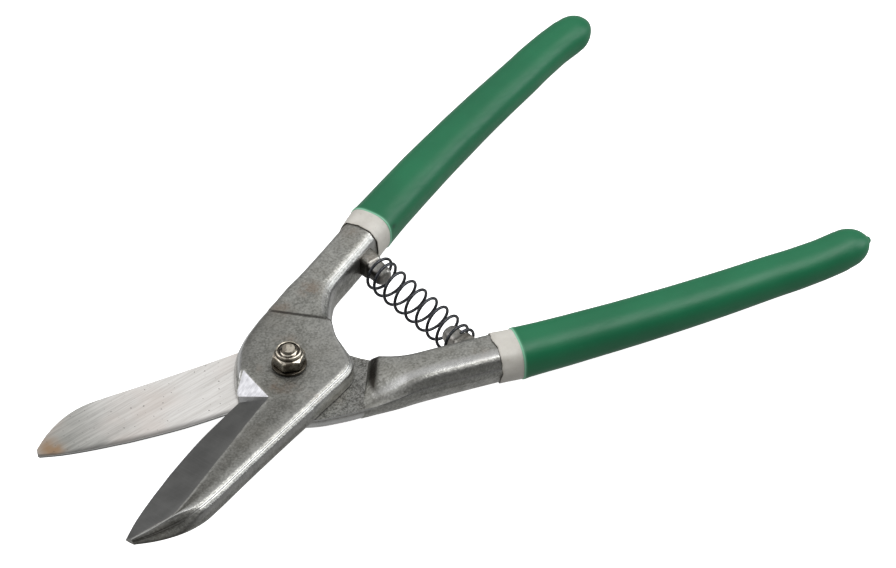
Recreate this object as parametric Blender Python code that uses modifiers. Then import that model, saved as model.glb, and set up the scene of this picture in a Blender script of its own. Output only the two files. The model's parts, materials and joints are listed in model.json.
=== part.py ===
"""Spring-opened straight-pattern metal snips.

Two identical drop-forged halves are lapped at a flat joint and turn on a
bolt with a lock nut.  Each half is one forging: a bevel-ground blade, a flat
boss and a handle tang that is twice as thick as the boss.  A wire spring on
two lugs opens the handles, which are sleeved in dipped plastic.

Frame: the pivot axis is the Z axis, +X runs towards the handles and the
blades point to -X.  Z = 0 is the flat underside of the pivot bolt's head.
All design dimensions are in millimetres and are scaled once by MM.
"""

import math

import bmesh
import bpy
from mathutils import Matrix

MM = 0.001

# ---------------------------------------------------------------- joint stack
JOINT_GAP = 0.15          # half of the running gap between the two halves
BOSS = 6.8                # thickness of a half at the boss and the blade
TANG = 7.2                # half thickness of a handle tang
CLEAR = 0.25              # gap between parts that bear on each other
BOLT_R = 3.0
BOLT_HOLE_R = 3.3
WASHER_R = 6.1
WASHER_T = 0.9
NUT_FLATS = 10.0
NUT_HEIGHT = 4.4
COLLAR_R = 4.55
COLLAR_H = 1.4
RECESS_R = 3.85           # the collar's mouth, where the locking ring shows
HEAD_HEIGHT = 4.0
BOLT_PROUD = 0.9          # how far the bolt's end stands out of the nut
NUT_TURN = math.radians(2.8)

NUT_SEAT = BOSS + CLEAR + WASHER_T + CLEAR
HEAD_DROP = NUT_SEAT + HEAD_HEIGHT

# ------------------------------------------------------------------- handles
TANG_END_X = 59.7         # centre line x where the bare tang stops
BAND_X = 60.3             # where the undercoat band starts
GRIP_X = 67.8             # where the green sleeve starts
CORE_END_X = 176.0        # where the steel ends inside the sleeve
END_X = 190.5             # where the sleeve starts to round off
END_REACH = 10.1          # from there to the very end
NECK_SHIFT = 0.35         # the sleeve bows outwards before its end
END_SHIFT = -0.45         # and its end hangs towards the other handle
HANDLE_X = 70.0           # reference point of the handle's centre line
HANDLE_Y = 41.2
HANDLE_SLOPE = 0.355
HANDLE_BEND = -0.00062
MOUTH_A = 8.6             # half width of the sleeve at its mouth
MOUTH_B = 8.2             # half thickness of the sleeve at its mouth
THIN_X = 182.0            # the sleeve thins out evenly as far as this
THIN_A = 7.0
THIN_B = 6.6
SLEEVE = 1.0              # wall of the sleeve
BAND_A = 8.4              # half width and half thickness of the band
BAND_B = 8.1
BAND_WALL = 0.75
RING_POINTS = 24

# -------------------------------------------------------------------- spring
SPRING_X = 56.1
COIL_R = 5.8
WIRE_R = 0.6
COIL_PITCH = 5.67
CLOSED_PITCH = 2.6        # pitch of the part turn at each end
TURN_FROM = -4.95         # turns are counted from the coil's middle
OPEN_FROM = -3.9
OPEN_TO = 3.3
TURN_TO = 4.45
COIL_PHASE = 2.0
COIL_LEAN = -0.032        # slope of the coil's axis across the snips
STUD_TIP = 17.0           # how far a stud's tip stays from the middle plane
STUD_BASE = 27.9          # where a stud meets the tang's inner wall
STUD_RAKE = 0.37          # slope of that wall in plan

# A half is described by rungs across the forging, from the blade's tip to the
# band.  Each rung has four plan points: the outer rim, the outer top edge, the
# inner top edge and the inner rim.  "Outer" is the cutting edge on the blade
# and the back of the hand side on the tang.  Then come the height of the upper
# face, the height of the outer wall below its slope, how far that slope is
# rounded out (0 is a flat bevel), and the depth of the tang below the joint
# face (0 where the half is only half thick).
RUNGS = (
    ((-87.4, -24.6), (-87.0, -26.5), (-86.8, -26.9), (-86.4, -27.9), 2.2, 0.9, 0.0, 0),
    ((-80.5, -20.4), (-79.6, -28.1), (-79.4, -28.6), (-79.5, -31.6), 3.9, 1.1, 0.0, 0),
    ((-72.0, -16.2), (-71.5, -29.6), (-71.5, -30.2), (-71.5, -34.2), 6.0, 1.2, 0.0, 0),
    ((-64.0, -12.7), (-64.0, -27.6), (-64.0, -31.6), (-64.0, -34.8), 6.8, 1.2, 0.0, 0),
    ((-57.0, -9.8), (-57.0, -24.8), (-57.0, -30.6), (-57.0, -33.7), 6.8, 1.2, 0.0, 0),
    ((-42.0, -4.5), (-41.0, -18.3), (-40.0, -26.6), (-39.5, -29.2), 6.8, 1.2, 0.0, 0),
    ((-27.0, -0.4), (-23.0, -11.0), (-20.5, -21.8), (-19.0, -24.2), 6.8, 1.2, 0.0, 0),
    ((-20.8, 1.5), (-14.2, -7.5), (-7.0, -18.5), (-5.0, -20.8), 6.8, 1.1, 0.0, 0),
    ((-20.2, 2.7), (-13.6, 7.4), (-3.0, -17.5), (-1.0, -19.8), 6.8, 1.1, 0.0, 0),
    ((-17.6, 7.8), (-12.0, 9.6), (2.5, -16.1), (4.5, -18.5), 6.8, 2.0, 0.5, 0),
    ((-13.6, 13.4), (-8.6, 13.4), (8.5, -14.6), (10.5, -17.0), 6.8, 2.2, 1.0, 0),
    ((-9.6, 17.6), (-5.2, 16.8), (13.8, -13.1), (15.8, -15.0), 6.8, 2.2, 1.0, 0),
    ((-4.2, 21.5), (-0.9, 19.7), (17.0, -10.4), (19.0, -11.4), 6.8, 2.2, 1.0, 0),
    ((1.6, 24.3), (3.5, 21.8), (18.8, -5.6), (20.0, -6.0), 6.8, 2.2, 1.0, 0),
    ((6.6, 26.4), (7.6, 23.5), (20.8, 1.2), (21.4, 1.1), 6.8, 2.4, 1.0, 0),
    ((10.6, 27.8), (10.6, 24.6), (24.4, 8.0), (24.9, 8.0), 6.8, 2.6, 1.0, 0),
    ((11.0, 27.9), (11.0, 24.7), (24.7, 8.3), (25.2, 8.3), 7.2, 2.8, 1.0, 0),
    ((12.2, 28.4), (12.3, 25.2), (25.7, 11.1), (26.8, 10.7), 7.2, 3.2, 0.8, 0),
    ((12.6, 28.6), (12.7, 25.4), (26.0, 11.7), (27.2, 11.2), 7.2, 3.4, 0.8, -0.6),
    ((17.0, 30.4), (17.4, 27.4), (27.6, 15.5), (29.4, 14.0), 7.2, 4.0, 0.6, -3.0),
    ((22.6, 32.8), (23.6, 29.7), (30.8, 19.4), (32.6, 17.3), 7.2, 4.3, 0.4, -5.4),
    ((30.0, 35.2), (31.1, 32.0), (36.0, 23.2), (37.2, 21.0), 7.2, 4.3, 0.3, -6.6),
    ((42.4, 39.6), (43.6, 36.3), (46.8, 27.2), (47.6, 25.0), 7.2, 4.3, 0.3, -6.9),
    ((57.0, 44.9), (58.2, 41.6), (61.4, 32.6), (62.2, 30.4), 7.2, 4.3, 0.3, -6.9),
)
# Rungs where the outline turns sharply: the grinding shoulder, the small step
# on the upper face and the foot of the riser under the tang.
SHARP_RUNGS = (7, 8, 15, 16, 17, 18)
RUNG_STEPS = 2
SPINE_DROP = 2.8          # deepest rounding of the blade's back


def reset_scene():
    for obj in list(bpy.data.objects):
        bpy.data.objects.remove(obj, do_unlink=True)
    for coll in list(bpy.data.collections):
        bpy.data.collections.remove(coll)


def new_collection(name):
    coll = bpy.data.collections.new(name)
    bpy.context.scene.collection.children.link(coll)
    return coll


def material(name, colour, roughness, metallic):
    mat = bpy.data.materials.new(name)
    mat.use_nodes = True
    shader = mat.node_tree.nodes["Principled BSDF"]
    shader.inputs["Base Color"].default_value = (*colour, 1.0)
    shader.inputs["Roughness"].default_value = roughness
    shader.inputs["Metallic"].default_value = metallic
    mat.diffuse_color = (*colour, 1.0)
    return mat


def make_object(name, bm, coll, mat):
    bmesh.ops.scale(bm, vec=(MM, MM, MM), verts=bm.verts)
    bmesh.ops.recalc_face_normals(bm, faces=bm.faces)
    mesh = bpy.data.meshes.new(name)
    bm.to_mesh(mesh)
    bm.free()
    mesh.materials.append(mat)
    mesh.shade_smooth()
    mesh.set_sharp_from_angle(angle=math.radians(32))
    obj = bpy.data.objects.new(name, mesh)
    coll.objects.link(obj)
    return obj


def loft(sections, closed=False):
    """Skin a row of point rings; join the last to the first, or cap both ends."""
    bm = bmesh.new()
    rings = [[bm.verts.new(p) for p in ring] for ring in sections]
    count = len(rings[0])
    follow = rings[1:] + rings[:1] if closed else rings[1:]
    for ring, after in zip(rings, follow):
        for k in range(count):
            nxt = (k + 1) % count
            bm.faces.new((ring[k], ring[nxt], after[nxt], after[k]))
    if not closed:
        bm.faces.new(rings[0])
        bm.faces.new(rings[-1])
    return bm


def cylinder(name, radius, low, high, coll, mat, sides, turn=0.0):
    bm = bmesh.new()
    bmesh.ops.create_cone(bm, cap_ends=True, segments=sides, radius1=radius,
                          radius2=radius, depth=high - low)
    bmesh.ops.rotate(bm, matrix=Matrix.Rotation(turn, 3, "Z"), verts=bm.verts)
    bmesh.ops.translate(bm, vec=(0, 0, (low + high) / 2), verts=bm.verts)
    return make_object(name, bm, coll, mat)


def build_ring(name, outer_r, inner_r, low, high, coll, mat, sides=32):
    """A flat ring about the pivot axis."""
    sections = []
    for radius, z in ((outer_r, low), (outer_r, high), (inner_r, high), (inner_r, low)):
        turns = [2 * math.pi * k / sides for k in range(sides)]
        sections.append([(radius * math.cos(t), radius * math.sin(t), z) for t in turns])
    return make_object(name, loft(sections, closed=True), coll, mat)


def soften(obj, width, segments):
    bevel = obj.modifiers.new("soft_edges", "BEVEL")
    bevel.width = width * MM
    bevel.segments = segments
    bevel.limit_method = "ANGLE"
    bevel.angle_limit = math.radians(50)


def combine(obj, other, operation):
    other.hide_render = True
    other.display_type = "WIRE"
    mod = obj.modifiers.new(operation.lower() + "_" + other.name, "BOOLEAN")
    mod.operation = operation
    mod.object = other
    mod.solver = "EXACT"


def cut(obj, cutter):
    combine(obj, cutter, "DIFFERENCE")


def mix(a, b, t):
    return tuple(p + (q - p) * t for p, q in zip(a, b))


def ease(value, low, high):
    t = min(1.0, max(0.0, (value - low) / (high - low)))
    return t * t * (3 - 2 * t)


def rung_values(rung):
    flat = [value for point in rung[:4] for value in point]
    return flat + list(rung[4:])


def smooth_rungs():
    """Insert Catmull-Rom rungs between the design rungs, straight at sharp ones."""
    rows = [rung_values(rung) for rung in RUNGS]
    last = len(rows) - 1
    result = [rows[0]]
    for i in range(last):
        here, there = rows[i], rows[i + 1]
        back = rows[max(i - 1, 0)]
        ahead = rows[min(i + 2, last)]
        for step in range(1, RUNG_STEPS + 1):
            t = step / RUNG_STEPS
            row = []
            for p, a, b, n in zip(back, here, there, ahead):
                slope_a = (b - a) if i in SHARP_RUNGS else (b - p) / 2
                slope_b = (b - a) if i + 1 in SHARP_RUNGS else (n - a) / 2
                row.append((2 * t**3 - 3 * t**2 + 1) * a + (t**3 - 2 * t**2 + t) * slope_a
                           + (3 * t**2 - 2 * t**3) * b + (t**3 - t**2) * slope_b)
            result.append(row)
    return result


def rung_section(row):
    """One closed ring of points across the forging."""
    rim, outer, inner, wall = row[0:2], row[2:4], row[4:6], row[6:8]
    top, rim_z, swell, under = row[8:12]
    depth = min(1.0, max(0.0, -under / TANG))
    floor = under if depth > 0.0 else JOINT_GAP
    drop = max(0.7, min(SPINE_DROP, 0.9 * math.dist(inner, wall) + 0.2))
    drop = min(drop, top - rim_z)
    foot = JOINT_GAP * (1 - depth)
    low_crease = max(floor, foot - rim_z * depth)
    crease = mix(rim, outer, 0.06 + 0.4 * depth)
    return (
        (*rim, foot),
        (*crease, rim_z),
        (*mix(crease, outer, 0.5), rim_z + (top - rim_z) * (0.5 + 0.28 * swell)),
        (*outer, top),
        (*mix(outer, inner, 0.5), top),
        (*inner, top),
        (*mix(inner, wall, 0.45), top - 0.25 * drop),
        (*mix(inner, wall, 0.97), top - drop),
        (*wall, foot),
        (*mix(wall, inner, 0.03), min(foot, floor + drop * depth)),
        (*mix(inner, wall, 0.45 * depth), min(foot, floor + 0.25 * drop * depth)),
        (*mix(outer, inner, 0.5), floor),
        (*outer, floor),
        (*mix(crease, outer, 0.5), max(floor, low_crease + 0.7 * (floor - low_crease))),
        (*crease, low_crease),
    )


def handle_frame(x):
    """Centre of the handle at x and its unit normal in plan."""
    run = x - HANDLE_X
    y = HANDLE_Y + HANDLE_SLOPE * run + HANDLE_BEND * run * run
    slope = HANDLE_SLOPE + 2 * HANDLE_BEND * run
    size = math.hypot(1.0, slope)
    return (x, y), (-slope / size, 1.0 / size)


def oval_point(x, half_a, half_b, turn, power, shift=0.0):
    """A point of a rounded-square ring across the handle."""
    (cx, cy), (nx, ny) = handle_frame(x)
    c, s = math.cos(turn), math.sin(turn)
    a = shift + half_a * math.copysign(abs(c) ** (2 / power), c)
    b = half_b * math.copysign(abs(s) ** (2 / power), s)
    return (cx + nx * a, cy + ny * a, b)


def oval_ring(x, half_a, half_b, shift=0.0, power=2.5):
    turns = [2 * math.pi * k / RING_POINTS for k in range(RING_POINTS)]
    return [oval_point(x, half_a, half_b, turn, power, shift) for turn in turns]


def sleeve_size(x):
    """Half width and half thickness of the sleeve's outside at x."""
    thinning = min(1.0, max(0.0, (x - GRIP_X) / (THIN_X - GRIP_X)))
    a = MOUTH_A + (THIN_A - MOUTH_A) * thinning
    b = MOUTH_B + (THIN_B - MOUTH_B) * thinning
    return a, b


def sleeve_shift(x):
    """How far the sleeve's outside stands off the handle's centre line."""
    neck = NECK_SHIFT * ease(x, 160, 172) * (1 - ease(x, 180, 188))
    return neck + END_SHIFT * ease(x, 186, 193)


def core_section(x, half_a, half_b):
    """The hidden tang, with its points in the order of rung_section."""
    marks = (0, 26, 46, 66, 90, 114, 133, 152, 180, 208, 234, 270, 292, 314, 336)
    return [oval_point(x, half_a, half_b, math.radians(mark), 2.6) for mark in marks]


def build_half(name, coll, mat, bolt_hole):
    """The forging: rungs from the tip to the band, then the hidden core."""
    sections = [rung_section(row) for row in smooth_rungs()]
    under_band = BAND_WALL + CLEAR
    sections.append(core_section(TANG_END_X + 0.35, BAND_A - under_band, BAND_B - under_band))
    for x in (GRIP_X - 2, GRIP_X + 2, 90, 115, 145, CORE_END_X - 4, CORE_END_X):
        trim = SLEEVE + CLEAR + (2.5 if x == CORE_END_X else 0.0)
        sections.append(core_section(x, *(v - trim for v in sleeve_size(x))))
    half = make_object(name, loft(sections), coll, mat)
    cut(half, bolt_hole)
    return half


def build_band(name, coll, mat):
    """A short tube, flush with the sleeve behind it."""
    stations = (BAND_X, (BAND_X + GRIP_X) / 2, GRIP_X - CLEAR)
    outer = [oval_ring(x, BAND_A, BAND_B) for x in stations]
    inner = [oval_ring(x, BAND_A - BAND_WALL, BAND_B - BAND_WALL)
             for x in reversed(stations)]
    return make_object(name, loft(outer + inner, closed=True), coll, mat)


def build_grip(name, coll, mat, drip):
    """A sleeve with a rounded closed end, hollow over the steel core."""
    rings = [oval_ring(CORE_END_X + 0.6, *(v - SLEEVE - 2.2 for v in sleeve_size(CORE_END_X)))]
    for x in (CORE_END_X - 3.6, 145, 115, 90, GRIP_X + 2, GRIP_X):
        rings.append(oval_ring(x, *(v - SLEEVE for v in sleeve_size(x))))
    for x in (GRIP_X, 78, 90, 103, 117, 131, 145, 158, 166, 173, 180, 186):
        rings.append(oval_ring(x, *sleeve_size(x), sleeve_shift(x)))
    for degrees in (0, 15, 29, 42, 54, 64) if drip else (0, 15, 29, 42, 54, 64, 73, 80, 86):
        turn = math.radians(degrees)
        rings.append(oval_ring(END_X + END_REACH * math.sin(turn), THIN_A * math.cos(turn),
                               THIN_B * math.cos(turn), END_SHIFT, 2.3))
    if drip:
        # the last drop of the dip has set on the tip
        for beyond, radius in ((-0.35, 2.0), (0.1, 1.45), (0.55, 1.3), (0.95, 0.95), (1.15, 0.5)):
            rings.append(oval_ring(END_X + END_REACH + beyond, radius, radius, END_SHIFT, 2.0))
    return make_object(name, loft(rings), coll, mat)


def build_stud(name, coll, mat):
    """The lug that carries an end of the spring, tapered to a blunt nose."""
    rings = []
    for y, half_x, half_z in ((STUD_BASE, 4.4, 4.6), (24.0, 4.1, 4.2), (19.0, 3.8, 3.9),
                              (STUD_TIP, 2.8, 2.9)):
        ring = []
        for k in range(16):
            turn = 2 * math.pi * (k + 0.5) / 16
            c, s = math.cos(turn), math.sin(turn)
            dx = half_x * math.copysign(abs(c) ** 0.6, c)
            lift = STUD_RAKE * dx if y == STUD_BASE else 0.0
            ring.append((SPRING_X + dx, y + lift, half_z * math.copysign(abs(s) ** 0.6, s)))
        rings.append(ring)
    return make_object(name, loft(rings), coll, mat)


def coil_point(turn):
    """Centre of the wire at a turn counted from the coil's middle."""
    opened = min(max(turn, OPEN_FROM), OPEN_TO)
    y = COIL_PITCH * opened + CLOSED_PITCH * (turn - opened)
    lean = COIL_LEAN * y * (1 - ease(abs(y), 12, 21))
    angle = COIL_PHASE - 2 * math.pi * turn
    return SPRING_X + lean + COIL_R * math.cos(angle), y, COIL_R * math.sin(angle)


def build_spring(name, coll, mat):
    """An open-wound wire coil along Y that closes up at each end."""
    curve = bpy.data.curves.new(name, "CURVE")
    curve.dimensions = "3D"
    curve.bevel_depth = WIRE_R * MM
    curve.bevel_resolution = 2
    curve.use_fill_caps = True
    curve.materials.append(mat)
    spline = curve.splines.new("POLY")
    per_turn = 14
    total = int(per_turn * (TURN_TO - TURN_FROM))
    spline.points.add(total)
    for i in range(total + 1):
        x, y, z = coil_point(TURN_FROM + (TURN_TO - TURN_FROM) * i / total)
        spline.points[i].co = (x * MM, y * MM, z * MM, 1.0)
    obj = bpy.data.objects.new(name, curve)
    coll.objects.link(obj)
    return obj


def build_fasteners(coll, cutters, steel, nylon):
    """The bolt with its washers, the lock nut and the nut's locking ring."""
    collar_foot = NUT_SEAT + NUT_HEIGHT
    nut_top = collar_foot + COLLAR_H
    corner_r = NUT_FLATS / math.sqrt(3.0)

    bolt = cylinder("pivot_bolt", BOLT_R, -NUT_SEAT - 1.0, nut_top + BOLT_PROUD, coll, steel, 28)
    soften(bolt, 0.7, 2)
    head = cylinder("bolt_head", corner_r, -HEAD_DROP, -NUT_SEAT, cutters, steel, 6, NUT_TURN)
    soften(head, 0.5, 2)
    combine(bolt, head, "UNION")

    nut = cylinder("lock_nut", corner_r, NUT_SEAT, collar_foot, coll, steel, 6, NUT_TURN)
    soften(nut, 0.55, 2)
    collar = cylinder("nut_collar", COLLAR_R, collar_foot - 1.0, nut_top, cutters, steel, 32)
    soften(collar, 0.5, 3)
    combine(nut, collar, "UNION")
    bore = cylinder("nut_bore", BOLT_HOLE_R, 0.0, 30.0, cutters, steel, 32)
    combine(nut, bore, "DIFFERENCE")
    recess = cylinder("nut_recess", RECESS_R, collar_foot + 0.2, 30.0, cutters, steel, 32)
    combine(nut, recess, "DIFFERENCE")

    build_ring("nylon_insert", RECESS_R - 0.15, BOLT_R + 0.15, collar_foot + 0.4,
               nut_top - 0.4, coll, nylon)
    build_ring("nut_washer", WASHER_R, BOLT_HOLE_R, BOSS + CLEAR, BOSS + CLEAR + WASHER_T,
               coll, steel)
    build_ring("head_washer", WASHER_R, BOLT_HOLE_R, -(BOSS + CLEAR + WASHER_T),
               -(BOSS + CLEAR), coll, steel)


def main():
    reset_scene()
    parts = new_collection("metal_snips")
    cutters = new_collection("cutters")
    forged = material("forged_steel", (0.20, 0.20, 0.185), 0.42, 0.9)
    green = material("green_grip", (0.025, 0.20, 0.085), 0.38, 0.0)
    grey = material("grey_band", (0.56, 0.55, 0.50), 0.5, 0.0)
    plated = material("plated_steel", (0.62, 0.56, 0.44), 0.24, 1.0)
    wire = material("black_wire", (0.02, 0.02, 0.022), 0.3, 0.8)
    nylon = material("nylon_ring", (0.10, 0.07, 0.045), 0.5, 0.0)

    bolt_hole = cylinder("bolt_hole", BOLT_HOLE_R, -20, 20, cutters, forged, 32)
    turned_over = Matrix.Rotation(math.pi, 4, "X")
    for side in ("front", "rear"):
        pieces = (build_half(side + "_half", parts, forged, bolt_hole),
                  build_grip(side + "_grip", parts, green, side == "rear"),
                  build_band(side + "_band", parts, grey),
                  build_stud(side + "_spring_stud", parts, forged))
        if side == "rear":
            for piece in pieces:
                piece.matrix_world = turned_over
    build_spring("return_spring", parts, wire)
    build_fasteners(parts, cutters, plated, nylon)

    pivot = bpy.data.objects.new("pivot_frame", None)
    pivot.location = (0.0, 0.0, HEAD_DROP * MM)
    parts.objects.link(pivot)
    for obj in list(parts.objects) + list(cutters.objects):
        if obj is not pivot:
            obj.parent = pivot


main()
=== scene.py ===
"""Metal snips in forged steel with green dipped grips, on a pale floor.

Every piece is built in millimetres in the pivot frame: the pivot axis is Z,
the handles run to +X and the joint's running plane is Z = 0.  The rear half's
pieces are the front half's turned over about the X axis.
"""

import json
import math

import bmesh
import bpy
import numpy as np
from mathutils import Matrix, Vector, noise


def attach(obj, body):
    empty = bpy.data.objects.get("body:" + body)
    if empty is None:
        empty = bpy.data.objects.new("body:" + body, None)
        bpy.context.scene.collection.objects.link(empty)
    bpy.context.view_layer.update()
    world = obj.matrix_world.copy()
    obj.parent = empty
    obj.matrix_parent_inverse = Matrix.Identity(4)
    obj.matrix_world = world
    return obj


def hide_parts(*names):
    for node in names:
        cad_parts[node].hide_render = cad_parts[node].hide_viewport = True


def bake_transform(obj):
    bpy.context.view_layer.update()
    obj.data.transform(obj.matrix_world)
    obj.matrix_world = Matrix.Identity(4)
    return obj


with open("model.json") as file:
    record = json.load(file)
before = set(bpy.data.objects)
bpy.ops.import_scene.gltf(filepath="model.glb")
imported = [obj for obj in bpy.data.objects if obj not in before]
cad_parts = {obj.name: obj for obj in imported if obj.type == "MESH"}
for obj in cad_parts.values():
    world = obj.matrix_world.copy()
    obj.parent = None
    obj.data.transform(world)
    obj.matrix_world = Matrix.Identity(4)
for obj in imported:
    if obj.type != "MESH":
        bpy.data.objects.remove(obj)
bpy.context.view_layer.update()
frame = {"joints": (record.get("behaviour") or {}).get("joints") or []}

MM = 0.001
PIVOT_Z = frame["joints"][0]["pos_m"][2] / MM

# All sizes are in millimetres.
# ---- joint stack
JOINT_GAP = 0.15          # half of the running gap between the two halves
BOSS = 6.8                # thickness of a half at the boss and the blade
TANG = 7.2                # half thickness of a handle tang
CLEAR = 0.25              # gap between parts that bear on each other
BOLT_HOLE_R = 3.3
WASHER_R = 6.1
WASHER_T = 0.9
NUT_FLATS = 10.0
NUT_CORNER = NUT_FLATS / math.sqrt(3.0)
NUT_HEIGHT = 4.4
COLLAR_R = 4.55
COLLAR_H = 1.4
HEAD_HEIGHT = 4.0
BOLT_PROUD = 0.9          # how far the bolt's end stands out of the nut
NUT_TURN = math.radians(2.8)
NUT_SEAT = BOSS + CLEAR + WASHER_T + CLEAR
COLLAR_FOOT = NUT_SEAT + NUT_HEIGHT
COLLAR_TOP = COLLAR_FOOT + COLLAR_H
BOLT_END = COLLAR_TOP + BOLT_PROUD
THREAD_FROM = NUT_SEAT + 1.5
THREAD_PITCH = 1.0
THREAD_CREST = 2.98
THREAD_ROOT = 2.45

# ---- handles
BAND_X = 60.3             # where the undercoat band starts
GRIP_X = 67.8             # where the green sleeve starts
CORE_END_X = 176.0        # where the steel ends inside the sleeve
END_X = 190.5             # where the sleeve starts to round off
END_REACH = 10.1          # from there to the very end
NECK_SHIFT = 0.35         # the sleeve bows outwards before its end
END_SHIFT = -0.45         # and its end hangs towards the other handle
HANDLE_X = 70.0           # reference point of the handle's centre line
HANDLE_Y = 41.2
HANDLE_SLOPE = 0.355
HANDLE_BEND = -0.00062
MOUTH_A = 8.6             # half width of the sleeve at its mouth
MOUTH_B = 8.2             # half thickness of the sleeve at its mouth
THIN_X = 182.0            # the sleeve thins out evenly as far as this
THIN_A = 7.0
THIN_B = 6.6
SLEEVE = 1.0              # wall of the sleeve
BAND_A = 8.4              # half width and half thickness of the band
BAND_B = 8.1
POLAR = 96                # points round a band or a sleeve

# ---- spring
SPRING_X = 56.1
COIL_R = 5.8
WIRE_R = 0.56
COIL_PITCH = 5.67
CLOSED_PITCH = 2.6        # pitch of the part turn at each end
TURN_FROM, OPEN_FROM, OPEN_TO, TURN_TO = -4.95, -3.9, 3.3, 4.45
COIL_PHASE = 2.0
COIL_LEAN = -0.032        # slope of the coil's axis across the snips
STUD_RAKE = 0.37          # slope of the tang's inner wall in plan

# ---- forging
# Sections of a half from the blade's tip to the band.  Rim, outer, inner and
# wall are plan points from the cutting side to the back; then the top's and
# the rim's height, how swollen the rim is, and the underside's height.
RUNGS = (
    ((-87.4, -24.6), (-87.0, -26.5), (-86.8, -26.9), (-86.4, -27.9), 2.2, 0.9, 0.0, 0),
    ((-80.5, -20.4), (-79.6, -28.1), (-79.4, -28.6), (-79.5, -31.6), 3.9, 1.1, 0.0, 0),
    ((-72.0, -16.2), (-71.5, -29.6), (-71.5, -30.2), (-71.5, -34.2), 6.0, 1.2, 0.0, 0),
    ((-64.0, -12.7), (-64.0, -27.6), (-64.0, -31.6), (-64.0, -34.8), 6.8, 1.2, 0.0, 0),
    ((-57.0, -9.8), (-57.0, -24.8), (-57.0, -30.6), (-57.0, -33.7), 6.8, 1.2, 0.0, 0),
    ((-42.0, -4.5), (-41.0, -18.3), (-40.0, -26.6), (-39.5, -29.2), 6.8, 1.2, 0.0, 0),
    ((-27.0, -0.4), (-23.0, -11.0), (-20.5, -21.8), (-19.0, -24.2), 6.8, 1.2, 0.0, 0),
    ((-21.2, 1.2), (-15.8, -8.4), (-8.0, -18.9), (-6.0, -21.2), 6.8, 1.2, 0.0, 0),
    ((-20.0, 3.6), (-14.6, -7.8), (-7.0, -18.5), (-5.0, -20.8), 6.8, 1.6, 0.0, 0),
    ((-19.6, 4.4), (-13.4, 8.1), (-3.0, -17.5), (-1.0, -19.8), 6.8, 1.6, 0.0, 0),
    ((-17.8, 7.8), (-12.4, 9.8), (2.5, -16.1), (4.5, -18.5), 6.8, 2.6, 0.7, 0),
    ((-14.0, 13.4), (-8.9, 13.6), (8.5, -14.6), (10.5, -17.0), 6.8, 3.0, 1.0, 0),
    ((-9.9, 17.7), (-5.4, 17.0), (13.8, -13.1), (15.8, -15.0), 6.8, 3.0, 1.0, 0),
    ((-4.3, 21.6), (-1.0, 19.8), (17.0, -10.4), (19.0, -11.4), 6.8, 3.0, 1.0, 0),
    ((1.6, 24.4), (3.5, 21.9), (18.8, -5.6), (20.0, -6.0), 6.8, 3.0, 1.0, 0),
    ((6.6, 26.5), (7.6, 23.6), (20.8, 1.2), (21.4, 1.1), 6.8, 3.0, 1.0, 0),
    ((10.6, 27.8), (10.6, 24.6), (24.4, 8.0), (24.9, 8.0), 6.8, 3.0, 1.0, 0),
    ((11.0, 27.9), (11.0, 24.7), (24.7, 8.3), (25.2, 8.3), 7.2, 2.8, 1.0, 0),
    ((12.2, 28.4), (12.3, 25.2), (25.7, 11.1), (26.8, 10.7), 7.2, 3.2, 0.8, 0),
    ((12.6, 28.6), (12.7, 25.4), (26.0, 11.7), (27.2, 11.2), 7.2, 3.4, 0.8, -1.1),
    ((15.7, 29.9), (16.0, 26.8), (27.1, 14.6), (28.8, 13.2), 7.2, 3.9, 0.65, -4.2),
    ((22.6, 32.8), (23.6, 29.7), (30.8, 19.4), (32.6, 17.3), 7.2, 4.3, 0.4, -5.8),
    ((30.0, 35.2), (31.1, 32.0), (36.0, 23.2), (37.2, 21.0), 7.2, 4.3, 0.3, -6.75),
    ((42.4, 39.6), (43.6, 36.3), (46.8, 27.2), (47.6, 25.0), 7.2, 4.3, 0.3, -6.9),
    ((57.0, 44.9), (58.2, 41.6), (61.4, 32.6), (62.2, 30.4), 7.2, 4.3, 0.3, -6.9),
)
SHARP_RUNGS = (7, 8, 9, 16, 17, 18, 19, 20)
SHOULDER_RUNG = 8         # the grinding shoulder runs from this rung to the next
RISER_RUNG = 18           # here the underside leaves the joint's plane
SPINE_DROP = 2.8          # deepest rounding of the blade's back
RUNG_SPACING = 0.9        # length of a step between the sections made of them

STEEL_DARK, STEEL_LIGHT = (0.190, 0.190, 0.172), (0.355, 0.354, 0.328)
TANG_DARK, TANG_LIGHT = (0.245, 0.245, 0.225), (0.445, 0.444, 0.415)
LUG_DARK, LUG_LIGHT = (0.105, 0.105, 0.098), (0.330, 0.330, 0.312)

# Brown stains: plan point, radius and strength.
STAINS = {
    "front": (((-9.4, -6.3), 4.0, 0.9), ((-6.5, -8.5), 4.5, 0.5), ((28.0, 24.1), 6.5, 0.6),
              ((14.2, 23.0), 5.0, 0.65), ((6.5, 8.5), 5.5, 0.45), ((-10.0, 6.0), 3.0, 0.35),
              ((-3.0, -17.5), 4.0, 0.35), ((57.0, 39.0), 6.0, 0.35)),
    "rear": (((-82.0, -25.0), 7.0, 1.0), ((-84.0, -20.0), 5.0, 0.8), ((54.0, 38.0), 5.0, 0.4)),
}
# Scuffs on the sleeves: point and radius.
SCUFFS = {"front": (((72.5, 33.8, 3.0), 1.6), ((96.0, 42.8, -1.0), 1.0)),
          "rear": (((118.0, 58.6, -4.5), 2.2), ((146.0, 67.8, 3.0), 1.2))}

# ---- stage
CAMERA_AZIMUTH = math.radians(-129.443)
CAMERA_ELEVATION = math.radians(44.616)
CAMERA_DISTANCE = 1372.25
CAMERA_TARGET = (71.271, 1.071)
CAMERA_LENS = 156.7       # on a 36 mm sensor
# The room's brightness by height: 0 is straight down, 0.5 the horizon, 1 overhead.
ROOM = ((0.0, 0.50), (0.475, 0.46), (0.51, 0.16), (0.585, 0.18), (0.65, 0.30),
        (0.80, 0.58), (1.0, 0.70))


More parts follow.
